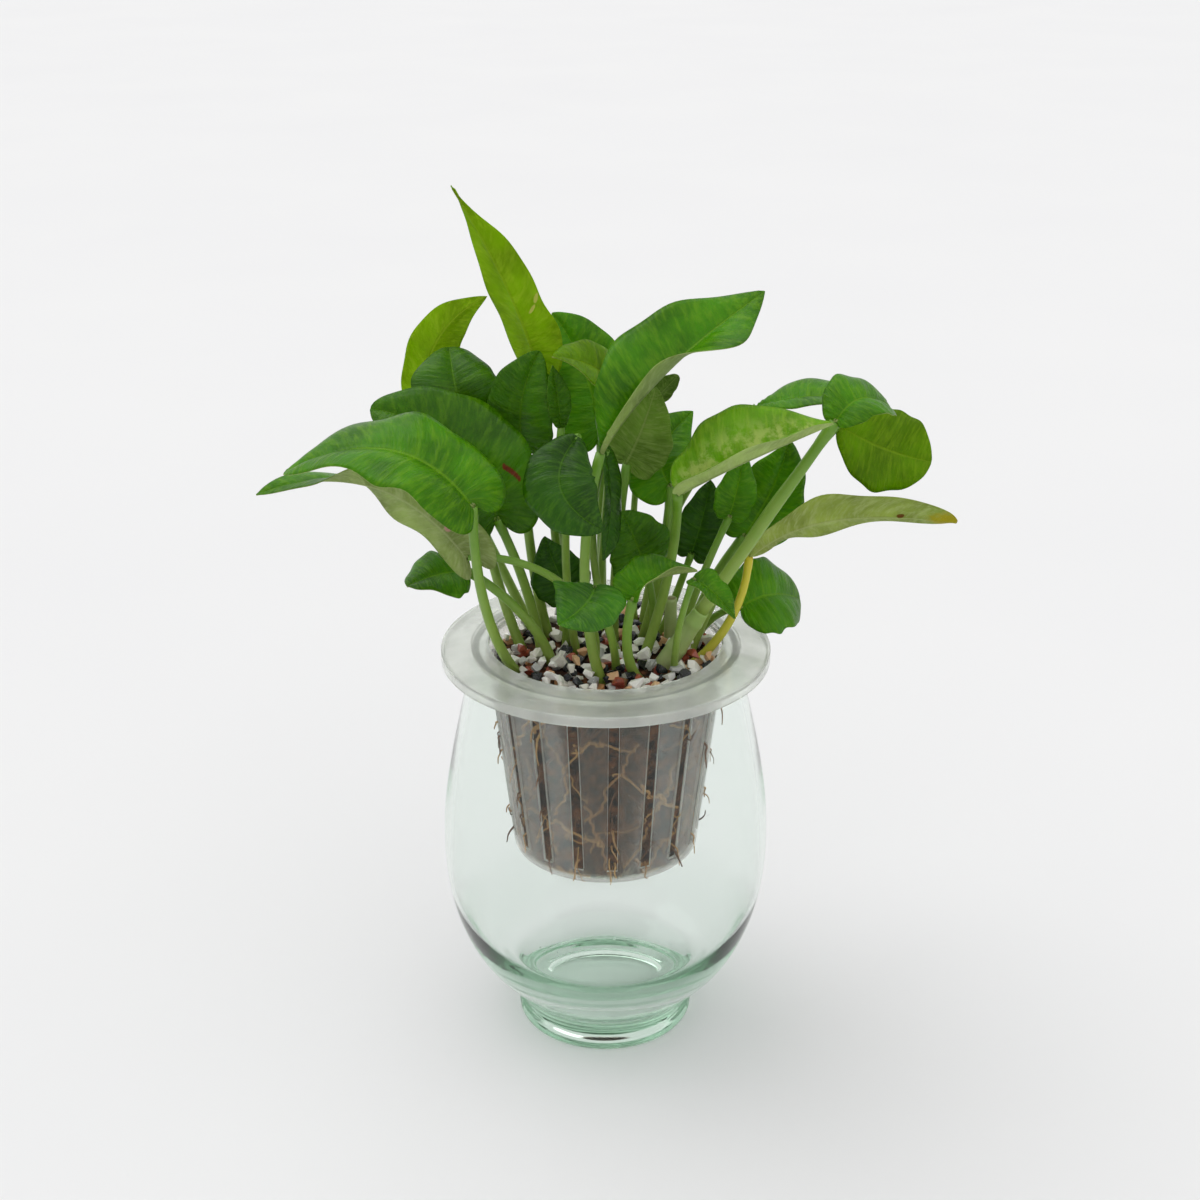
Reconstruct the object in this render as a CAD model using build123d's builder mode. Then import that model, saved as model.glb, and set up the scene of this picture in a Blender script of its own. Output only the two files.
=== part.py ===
"""Hydroponic jar planter: a footed glass jar, a slotted net pot hung on its rim, and a pothos plant.

Millimetres. The origin is the centre of the jar's foot, +Z is up and -Y is the front.
"""
import os
from math import cos, radians, sin
from typing import NamedTuple

from build123d import *

os.makedirs("parts", exist_ok=True)

# Glass jar. The last five shape its profile: points part of the way, in radius and in height,
# from the waist to the belly and from the rim to the belly, how much thicker the wall gets
# towards the base, and the punt's curve
JAR_HEIGHT = 167.0
JAR_WALL = 3.0
FOOT_RADIUS = 36.5
FOOT_WAIST_RADIUS = 34.8
FOOT_WAIST_HEIGHT = 9.0
FOOT_RING_WIDTH = 6.0
PUNT_DEPTH = 4.0
JAR_FLOOR_HEIGHT = 13.0
JAR_FLOOR_RADIUS = 26.0
BELLY_RADIUS = 66.4
BELLY_HEIGHT = 80.0
RIM_RADIUS = 52.3
RIM_ROUND = 0.8
FOOT_ROUND = 1.5
BELLY_LOW = (0.36, 0.20)
BELLY_MID = (0.85, 0.58)
SHOULDER = (0.62, 0.45)
LOW_WALL_SHARES = (1.1, 1.2)
PUNT_CURVE = (0.6, 0.66)

# Net pot, which hangs on the jar's rim. Its depth and its lip's rise are measured from the rim
POT_DEPTH = 85.0
POT_TAPER = 9.5
POT_WALL = 1.2
LIP_RISE = 4.5
RIM_CLEARANCE = 2.1
FLANGE_RADIUS = 65.0
FLANGE_DROP = 2.2
FLANGE_THICKNESS = 1.6
SKIRT_DEPTH = 4.3
SEAT_OVERHANG = 0.6
SLOT_COUNT = 18
SLOT_WIDTH = 4.0
SLOT_FLOOR_MARGIN = 6.0
SLOT_RIM_MARGIN = 8.0
SLOT_FIRST_ANGLE = -86.0
DRAIN_COUNT = 6
DRAIN_LENGTH = 14.0
DRAIN_RADIUS = 20.0

# Root ball, gravel and roots
BED_DEPTH = 8.5
ROOT_BALL_GAP = 0.3
CHIP_PITCH = 5.6
CHIP_RADIUS = 2.4
CHIP_HEIGHT = 3.6
CHIP_TAPER = 16.0
CHIP_CLEARANCE = 1.4
ROOT_COUNT = 14
ROOT_RADIUS = 0.7
ROOT_LENGTH = 8.0
ROOT_REACH = 3.4
ROOT_START_OFFSET = 0.2
ROOT_LOWEST = 4.0
ROOT_STEP = 17.0

# Plant
BLADE_THICKNESS = 0.8
NOTCH_CLEARANCE = 0.25
STALK_SINK = 2.0
STEM_RADIUS = 4.4
STEM_TOP_RADIUS = 3.2
STUB_RADIUS = 2.7
STUB_HEIGHT = 20.0
STUB_PLACE = (0.58, 0.29)
STEM_PLACE = (0.51, -0.18)
STEM_LEAN = (14, -3, 25)

# A blade's half width along its midrib: distance from the stalk as a share of the
# blade's length, and share of the largest half width
HEART_SHAPE = (
    (-0.13, 0.24),
    (-0.07, 0.64),
    (0.04, 0.94),
    (0.20, 1.00),
    (0.40, 0.93),
    (0.60, 0.73),
    (0.78, 0.40),
    (0.91, 0.15),
    (1.00, 0.03),
)
BLUNT_SHAPE = (
    (-0.10, 0.28),
    (-0.05, 0.64),
    (0.04, 0.92),
    (0.22, 1.00),
    (0.42, 0.96),
    (0.62, 0.82),
    (0.80, 0.56),
    (0.92, 0.30),
    (1.00, 0.05),
)
TAPERED_SHAPE = (
    (0.01, 0.06),
    (0.08, 0.26),
    (0.20, 0.66),
    (0.36, 0.95),
    (0.54, 1.00),
    (0.72, 0.85),
    (0.86, 0.55),
    (0.95, 0.25),
    (1.00, 0.04),
)


class Leaf(NamedTuple):
    """One leaf: points in millimetres, rises in degrees."""

    root: tuple
    bend: tuple
    base: tuple
    middle: tuple
    tip: tuple
    width: float
    face: tuple
    left_rise: float
    right_rise: float
    stalk_radius: float
    shape: tuple = HEART_SHAPE


# The root is where the stalk leaves the bed, as shares of the bed's radius, or None on the vine
# stem. The bend is a point half way up the stalk, from the root. Base, middle and tip are on the
# blade's midrib, with heights above the bed. The face is the way its upper side looks, and the
# rises are how far its two halves fold up. A blade is heart-shaped unless its row ends in a shape
LEAVES = {
    "left": {
        "crown": Leaf(
            (-0.36, 0.4), (-5, 2, 59), (-26, 22, 114), (-39, 26, 147), (-57, 20, 182),
            30, (0.6, 0.8, 0.25), 10, 10, 2.0,
        ),
        "young": Leaf(
            (-0.62, 0.45), (-24, 14, 45), (-72, 44, 84), (-68, 46, 114), (-46, 38, 136),
            22, (0.2, 0.9, 0.5), 8, 8, 2.0,
        ),
        "left_upper": Leaf(
            (-0.74, 0.18), (-14, 10, 43), (-53, 27, 81), (-57, 17, 103), (-61, 34, 117),
            40, (0.1, -1, 0.4), 4, 4, 2.0, BLUNT_SHAPE,
        ),
        "left_dark": Leaf(
            (-0.56, 0.09), (-7, -8, 35), (-41, -12, 63), (-58, -4, 90), (-89, 6, 101),
            44, (-0.1, -0.75, 0.85), 10, 10, 2.0, BLUNT_SHAPE,
        ),
        "left_front": Leaf(
            (-0.76, -0.27), (-12, -32, 52), (-47, -52, 83), (-76, -46, 102), (-115, -40, 91),
            46, (0.05, -0.3, 1), 10, 10, 2.0, BLUNT_SHAPE,
        ),
        "left_under": Leaf(
            (-0.11, -0.18), (-27, -18, 51), (-51, -30, 55), (-86, -24, 81), (-130, -18, 75),
            36, (0.1, 0.75, 0.65), 6, 6, 1.6,
        ),
        "left_low": Leaf(
            (-0.47, -0.11), (-13, -9, 27), (-53, -10, 41), (-63, -15, 42), (-75, -22, 40),
            28, (-0.1, -0.45, 1), 4, 4, 2.0, BLUNT_SHAPE,
        ),
        "centre_dark": Leaf(
            (-0.51, 0.45), (-7, -6, 42), (-32, 14, 83), (-32, 11, 103), (-25, 14, 121),
            28, (-0.2, -1, 0.25), 14, 14, 2.0, BLUNT_SHAPE,
        ),
    },
    "centre": {
        "sliver": Leaf(
            (-0.2, 0.62), (-8, -16, 49), (-17, 4, 94), (-18, 4, 105), (-20, 5, 118),
            10, (0.4, -1, 0.2), 10, 10, 1.6,
        ),
        "back": Leaf(
            (-0.04, 0.8), (0, 0, 40), (-2, 40, 79), (-9, 44, 106), (-21, 44, 128),
            38, (0.3, -1, 0.3), 6, 6, 2.0,
        ),
        "yellow": Leaf(
            (-0.07, 0.45), (3, 4, 53), (5, 16, 107), (-7, 11, 117), (-20, 3, 122),
            24, (0.1, -0.6, 1), 8, 8, 1.6,
        ),
        "right_tall": Leaf(
            (-0.02, -0.54), (-7, -4, 49), (-2, -26, 94), (21, -16, 121), (59, 14, 144),
            41, (-0.2, -0.9, 0.35), 76, 6, 2.0, TAPERED_SHAPE,
        ),
        "front_round": Leaf(
            (-0.25, 0.07), (-4, -15, 46), (-10, -40, 105), (-16, -54, 91), (-1, -60, 77),
            27, (-0.2, -0.9, 0.45), 2, 2, 1.6, TAPERED_SHAPE,
        ),
        "edge": Leaf(
            (0.13, 0.02), (-11, 1, 53), (0, -8, 89), (2, -16, 69), (-1, -24, 51),
            19, (1, -0.35, 0.2), 6, 6, 1.6,
        ),
        "olive": Leaf(
            (0.07, 0.36), (1, -7, 38), (8, 6, 79), (14, 8, 92), (19, 10, 108),
            28, (0.6, 0.7, 0.4), 8, 8, 2.0,
        ),
        "pale_lobe": Leaf(
            (0.27, 0.71), (-1, 2, 45), (16, 32, 94), (22, 32, 100), (28, 30, 107),
            9, (0.5, 0.6, 0.6), 8, 8, 1.4, BLUNT_SHAPE,
        ),
        "centre_olive": Leaf(
            (0.36, 0.16), (2, -7, 25), (15, 0, 39), (11, -4, 52), (6, -6, 64),
            28, (0.2, -0.9, 0.5), 6, 6, 1.6,
        ),
        "low_back": Leaf(
            (-0.36, 0.22), (1, -5, 17), (-14, 2, 27), (-19, 3, 36), (-24, 6, 49),
            24, (-0.1, -1, 0.3), 8, 8, 1.6,
        ),
        "front_gloss": Leaf(
            (0.09, -0.31), (-3, -22, 30), (-4, -46, 50), (-8, -57, 47), (-17, -64, 43),
            29, (0, -0.8, 0.8), 10, 10, 1.6,
        ),
        "low_right": Leaf(
            (0.31, -0.42), (-6, -15, 23), (10, -38, 41), (17, -34, 48), (34, -28, 49),
            26, (-0.2, -0.5, 1), 50, 8, 2.0,
        ),
    },
    "right": {
        "mottled": Leaf(
            (0.31, -0.09), (11, -8, 47), (26, -30, 80), (51, -30, 93), (82, -24, 105),
            43, (0.05, -0.7, 1), 70, 25, 2.0, BLUNT_SHAPE,
        ),
        "right_back": Leaf(
            (0.31, 0.31), (8, -6, 38), (25, 8, 69), (22, 16, 81), (34, 28, 93),
            30, (-0.3, -1, 0.5), 8, 8, 2.0,
        ),
        "far_arch": Leaf(
            None, (23, -4, 39), (84, -14, 102), (95, -6, 109), (108, 4, 100),
            26, (-0.1, -0.6, 1), 10, 10, 2.4, TAPERED_SHAPE,
        ),
        "far_hanging": Leaf(
            (0.74, 0.09), (19, 5, 40), (90, 20, 90), (108, 22, 80), (127, 20, 75),
            34, (0.1, -0.9, 0.4), 4, 4, 1.6, TAPERED_SHAPE,
        ),
        "far_back": Leaf(
            (0.33, 0.58), (14, 8, 50), (60, 44, 90), (86, 46, 94), (112, 44, 92),
            28, (0, -0.1, 1), 8, 8, 1.6, TAPERED_SHAPE,
        ),
        "right_long": Leaf(
            (0.74, -0.09), (19, 0, 27), (55, -4, 45), (87, 4, 57), (137, 12, 53),
            31, (-0.1, 0.75, 0.65), 10, 10, 1.8, TAPERED_SHAPE,
        ),
        "right_round": Leaf(
            (0.78, 0.28), (8, -3, 13), (53, 4, 20), (66, 10, 23), (79, 26, 14),
            34, (-0.3, -1, 0.7), 4, 4, 1.6, BLUNT_SHAPE,
        ),
        "right_small": Leaf(
            (0.6, -0.36), (1, -18, 31), (32, -42, 51), (39, -46, 48), (47, -50, 39),
            15, (0.4, -0.4, 0.8), 20, 20, 1.4,
        ),
        "right_mid": Leaf(
            (0.62, 0.13), (9, -8, 34), (47, -4, 61), (50, -2, 72), (53, 6, 84),
            17, (0.2, -1, 0.3), 8, 8, 1.6,
        ),
        "back_right": Leaf(
            (0.74, 0.38), (10, 5, 24), (55, 22, 43), (66, 26, 62), (72, 26, 82),
            32, (0.3, -0.9, 0.5), 8, 8, 2.0,
        ),
        "back_dark": Leaf(
            (0.49, 0.49), (8, -3, 24), (34, 16, 38), (38, 16, 53), (41, 18, 68),
            20, (0, -1, 0.4), 6, 6, 1.6,
        ),
    },
}


def save(piece, name):
    """Label a finished piece and write it as a node."""
    piece.part.label = name
    export_step(piece.part, f"parts/{name}.step")


# Heights and radii that follow from the jar's rim, on which the pot hangs
pot_floor = JAR_HEIGHT - POT_DEPTH
pot_lip = JAR_HEIGHT + LIP_RISE
flange_edge = pot_lip - FLANGE_DROP
pot_lip_radius = RIM_RADIUS - JAR_WALL - RIM_CLEARANCE
pot_floor_radius = pot_lip_radius - POT_TAPER
slot_bottom = pot_floor + SLOT_FLOOR_MARGIN
slot_top = JAR_HEIGHT - SLOT_RIM_MARGIN
bed_level = pot_lip - BED_DEPTH


def pot_inside(height):
    """Inner radius of the net pot's conical wall at a height."""
    share = (height - pot_floor) / (pot_lip - pot_floor)
    return pot_floor_radius + share * POT_TAPER - POT_WALL


bed_radius = pot_inside(bed_level) - ROOT_BALL_GAP


def in_bed(place):
    """Point on the bed from shares of its radius."""
    return Vector(place[0] * bed_radius, place[1] * bed_radius, bed_level)


def over_bed(point):
    """Point whose height is given above the bed."""
    return Vector(*point) + Vector(0, 0, bed_level)


def between(start, end, shares):
    """Profile point part of the way from one (radius, height) to another."""
    return tuple(a + share * (b - a) for a, b, share in zip(start, end, shares))


# Glass jar: one blown piece with a ring foot, a hollow underside and a fire-polished rim
waist = (FOOT_WAIST_RADIUS, FOOT_WAIST_HEIGHT)
belly = (BELLY_RADIUS, BELLY_HEIGHT)
rim = (RIM_RADIUS, JAR_HEIGHT)
belly_low = between(waist, belly, BELLY_LOW)
belly_mid = between(waist, belly, BELLY_MID)
shoulder = between(rim, belly, SHOULDER)
punt_radius = FOOT_RADIUS - FOOT_RING_WIDTH
punt_middle = (PUNT_CURVE[0] * punt_radius, PUNT_CURVE[1] * PUNT_DEPTH)

with BuildPart() as glass_jar:
    with BuildSketch(Plane.XZ):
        with BuildLine():
            ThreePointArc((0, PUNT_DEPTH), punt_middle, (punt_radius, 0))
            Line((punt_radius, 0), (FOOT_RADIUS - 1, 0))
            Spline((FOOT_RADIUS - 1, 0), (FOOT_RADIUS, FOOT_ROUND), waist)
            Spline(waist, belly_low, belly_mid, belly, shoulder, rim)
            Line(rim, (RIM_RADIUS - JAR_WALL, JAR_HEIGHT))
            Spline(
                (RIM_RADIUS - JAR_WALL, JAR_HEIGHT),
                (shoulder[0] - JAR_WALL, shoulder[1]),
                (BELLY_RADIUS - JAR_WALL, BELLY_HEIGHT),
                (belly_mid[0] - LOW_WALL_SHARES[0] * JAR_WALL, belly_mid[1]),
                (belly_low[0] - LOW_WALL_SHARES[1] * JAR_WALL, belly_low[1] + JAR_WALL),
                (JAR_FLOOR_RADIUS, JAR_FLOOR_HEIGHT),
            )
            Line((JAR_FLOOR_RADIUS, JAR_FLOOR_HEIGHT), (0, JAR_FLOOR_HEIGHT))
            Line((0, JAR_FLOOR_HEIGHT), (0, PUNT_DEPTH))
        make_face()
    revolve(axis=Axis.Z)
    fillet(glass_jar.edges().filter_by(GeomType.CIRCLE).group_by(Axis.Z)[-1], RIM_ROUND)
save(glass_jar, "glass_jar")

# Net pot: one thin moulding of floor, slotted cone, seat rib, flange and skirt
skirt_bottom = flange_edge - SKIRT_DEPTH
seat_outer = RIM_RADIUS + SEAT_OVERHANG
flange_slope = FLANGE_DROP / (FLANGE_RADIUS - pot_lip_radius)
under_seat = pot_lip - flange_slope * (seat_outer - pot_lip_radius) - FLANGE_THICKNESS
seat_radius = pot_inside(JAR_HEIGHT) + POT_WALL

with BuildPart() as net_pot:
    with BuildSketch(Plane.XZ):
        with BuildLine():
            Polyline(
                (0, pot_floor),
                (pot_floor_radius, pot_floor),
                (seat_radius, JAR_HEIGHT),
                (seat_outer, JAR_HEIGHT),
                (seat_outer, under_seat),
                (FLANGE_RADIUS - FLANGE_THICKNESS, flange_edge - FLANGE_THICKNESS),
                (FLANGE_RADIUS - FLANGE_THICKNESS, skirt_bottom),
                (FLANGE_RADIUS, skirt_bottom),
                (FLANGE_RADIUS, flange_edge),
                (pot_lip_radius, pot_lip),
                (pot_inside(pot_lip), pot_lip),
                (pot_inside(pot_floor + POT_WALL), pot_floor + POT_WALL),
                (0, pot_floor + POT_WALL),
                close=True,
            )
        make_face()
    revolve(axis=Axis.Z)
    slot_depth = 4 * POT_WALL + POT_TAPER
    with BuildSketch(Plane.XY.offset(slot_bottom)):
        with PolarLocations((pot_floor_radius + pot_lip_radius) / 2, SLOT_COUNT, SLOT_FIRST_ANGLE):
            Rectangle(slot_depth, SLOT_WIDTH)
    extrude(amount=slot_top - slot_bottom, mode=Mode.SUBTRACT)
    with BuildSketch(Plane.XY.offset(pot_floor)):
        with PolarLocations(DRAIN_RADIUS, DRAIN_COUNT):
            SlotOverall(DRAIN_LENGTH, SLOT_WIDTH)
    extrude(amount=POT_WALL, mode=Mode.SUBTRACT)
save(net_pot, "net_pot")

# Root ball: the block of growing medium and roots that fills the pot under the gravel
ball_bottom = pot_floor + POT_WALL

with BuildPart() as root_ball:
    with Locations((0, 0, ball_bottom)):
        Cone(
            pot_inside(ball_bottom) - ROOT_BALL_GAP,
            bed_radius,
            bed_level - ball_bottom,
            align=(Align.CENTER, Align.CENTER, Align.MIN),
        )
save(root_ball, "root_ball")

# Roots: thin roots that grow out of the slots and hang close to the pot
with BuildPart() as slot_roots:
    for number in range(ROOT_COUNT):
        angle = radians(SLOT_FIRST_ANGLE + 360 / SLOT_COUNT * (5 * number % SLOT_COUNT))
        spare = slot_top - slot_bottom - 2 * ROOT_LENGTH - ROOT_LOWEST
        start_height = slot_bottom + ROOT_LENGTH + ROOT_LOWEST + ROOT_STEP * number % spare
        start = pot_inside(start_height) - ROOT_BALL_GAP + ROOT_START_OFFSET
        reach = start + ROOT_REACH
        drop = ROOT_LENGTH * (0.6 + 0.1 * (number % 4))
        with BuildLine():
            ThreePointArc(
                (start * cos(angle), start * sin(angle), start_height),
                (reach * cos(angle), reach * sin(angle), start_height - 0.4 * drop),
                (reach * cos(angle), reach * sin(angle), start_height - drop),
            )
        path = slot_roots.pending_edges[-1]
        with BuildSketch(Plane(origin=path @ 0, z_dir=path % 0)):
            Circle(ROOT_RADIUS)
        sweep()
save(slot_roots, "slot_roots")

# Vine stem on the right, which carries the longest stalk, and the stub of a cut one
stem_foot = in_bed(STEM_PLACE) - Vector(0, 0, STALK_SINK)
stem_top = in_bed(STEM_PLACE) + Vector(*STEM_LEAN)

with BuildPart() as vine_stem:
    with BuildSketch(Plane(origin=stem_foot, z_dir=stem_top - stem_foot)):
        Circle(STEM_RADIUS)
    with BuildSketch(Plane(origin=stem_top, z_dir=stem_top - stem_foot)):
        Circle(STEM_TOP_RADIUS)
    loft()
    split(bisect_by=Plane.XY.offset(bed_level), keep=Keep.TOP)
save(vine_stem, "vine_stem")

with BuildPart() as stem_stub:
    with BuildSketch(Plane(in_bed(STUB_PLACE))):
        Circle(STUB_RADIUS)
    extrude(amount=STUB_HEIGHT)
save(stem_stub, "stem_stub")


def stalk(leaf, radius):
    """Section and arc of a leaf's stalk, from the bed or the vine stem to the blade."""
    if leaf.root is None:
        root = stem_top
        foot = stem_top + (stem_top - stem_foot).normalized() * ROOT_BALL_GAP
    else:
        root = in_bed(leaf.root)
        foot = root - Vector(0, 0, STALK_SINK)
    with BuildLine() as arc:
        ThreePointArc(foot, root + Vector(*leaf.bend), over_bed(leaf.base))
    path = arc.edge()
    with BuildSketch(Plane(origin=path @ 0, z_dir=path % 0)) as section:
        Circle(radius)
    return section.sketch, path


def midrib(leaf, share):
    """Point and direction on the parabola through a blade's base, middle and tip."""
    base, middle, tip = (over_bed(point) for point in (leaf.base, leaf.middle, leaf.tip))
    knee = middle * 2 - (base + tip) * 0.5
    point = base * (1 - share) ** 2 + knee * (2 * share * (1 - share)) + tip * share**2
    direction = (knee - base) * (1 - share) + (tip - knee) * share
    return point, direction.normalized()


# Leaf stalks, one solid each, in three groups
for side, leaves in LEAVES.items():
    with BuildPart() as stalks:
        for leaf in leaves.values():
            sweep(*stalk(leaf, leaf.stalk_radius))
        split(bisect_by=Plane.XY.offset(bed_level), keep=Keep.TOP)
    save(stalks, f"stalks_{side}")

# Leaf blades: thin folded sections along the midrib, notched where the stalk joins
for leaves in LEAVES.values():
    for name, leaf in leaves.items():
        half_width = leaf.width / 2
        left_rise = radians(leaf.left_rise)
        right_rise = radians(leaf.right_rise)
        with BuildPart() as blade:
            for share, width_share in leaf.shape:
                point, direction = midrib(leaf, share)
                reach = half_width * width_share
                left = (-reach * cos(left_rise), reach * sin(left_rise))
                right = (reach * cos(right_rise), reach * sin(right_rise))
                across = Vector(*leaf.face).cross(direction)
                with BuildSketch(Plane(point, x_dir=across, z_dir=direction)):
                    with BuildLine():
                        Polyline(
                            left,
                            (0, 0),
                            right,
                            (right[0], right[1] - BLADE_THICKNESS),
                            (0, -BLADE_THICKNESS),
                            (left[0], left[1] - BLADE_THICKNESS),
                            close=True,
                        )
                    make_face()
            loft()
            sweep(*stalk(leaf, leaf.stalk_radius + NOTCH_CLEARANCE), mode=Mode.SUBTRACT)
        save(blade, f"leaf_{name}")

# Gravel: one layer of broken chips on the root ball, in five colours, clear of every stalk
STONE_COLOURS = ("white", "black", "red", "tan", "grey")
standing = [(stem_foot, STEM_RADIUS), (in_bed(STUB_PLACE), STUB_RADIUS)]
for leaves in LEAVES.values():
    for leaf in leaves.values():
        arc = stalk(leaf, leaf.stalk_radius)[1]
        among_chips = arc.position_at(STALK_SINK + CHIP_HEIGHT / 2, position_mode=PositionMode.LENGTH)
        if among_chips.Z < bed_level + CHIP_HEIGHT:
            standing.append((among_chips, leaf.stalk_radius))
rows = int(bed_radius / CHIP_PITCH) + 2
places = {colour: [] for colour in STONE_COLOURS}
for row in range(-rows, rows + 1):
    for column in range(-rows, rows + 1):
        place = Vector((column + 0.5 * (row % 2)) * CHIP_PITCH, row * CHIP_PITCH * sin(radians(60)))
        inside = place.length + CHIP_RADIUS + ROOT_BALL_GAP < bed_radius
        free = all(
            (place - Vector(foot.X, foot.Y)).length > radius + CHIP_RADIUS + CHIP_CLEARANCE
            for foot, radius in standing
        )
        if inside and free:
            colour = STONE_COLOURS[(3 * row + 7 * column + row * column) % len(STONE_COLOURS)]
            places[colour].append((place, row, column))

for colour, chips in places.items():
    with BuildPart() as gravel:
        for place, row, column in chips:
            sides = 5 + (row + column) % 3
            turn = 37 * row + 23 * column
            with BuildSketch(Plane.XY.offset(bed_level)):
                with Locations(place):
                    RegularPolygon(CHIP_RADIUS, sides, rotation=turn)
            extrude(amount=CHIP_HEIGHT - 0.5 * ((row - column) % 3), taper=CHIP_TAPER)
    save(gravel, f"gravel_{colour}")
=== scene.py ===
"""Looks of the hydroponic jar planter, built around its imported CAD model.

Tables are in millimetres, as in the part's source; meshes are made in metres.
"""
import math
import random

import bmesh
import bpy
import numpy as np
from mathutils import Euler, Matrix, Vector, noise


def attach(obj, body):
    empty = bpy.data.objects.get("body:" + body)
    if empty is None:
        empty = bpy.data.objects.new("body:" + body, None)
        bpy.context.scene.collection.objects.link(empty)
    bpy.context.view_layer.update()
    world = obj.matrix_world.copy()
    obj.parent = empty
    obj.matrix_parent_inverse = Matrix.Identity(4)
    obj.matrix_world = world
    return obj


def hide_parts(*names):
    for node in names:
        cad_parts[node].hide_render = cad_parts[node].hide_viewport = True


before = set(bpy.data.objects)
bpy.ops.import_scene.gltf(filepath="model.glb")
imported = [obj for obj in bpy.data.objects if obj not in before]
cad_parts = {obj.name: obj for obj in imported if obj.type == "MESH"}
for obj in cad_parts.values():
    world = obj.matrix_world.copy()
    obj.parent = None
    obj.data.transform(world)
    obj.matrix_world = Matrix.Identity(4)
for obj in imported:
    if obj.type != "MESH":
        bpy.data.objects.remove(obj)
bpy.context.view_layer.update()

MM = 0.001
BED_LEVEL = 163.0
BED_RADIUS = 44.8
RIM_LEVEL = 167.0
SIDE_VEINS = 11.0

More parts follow.
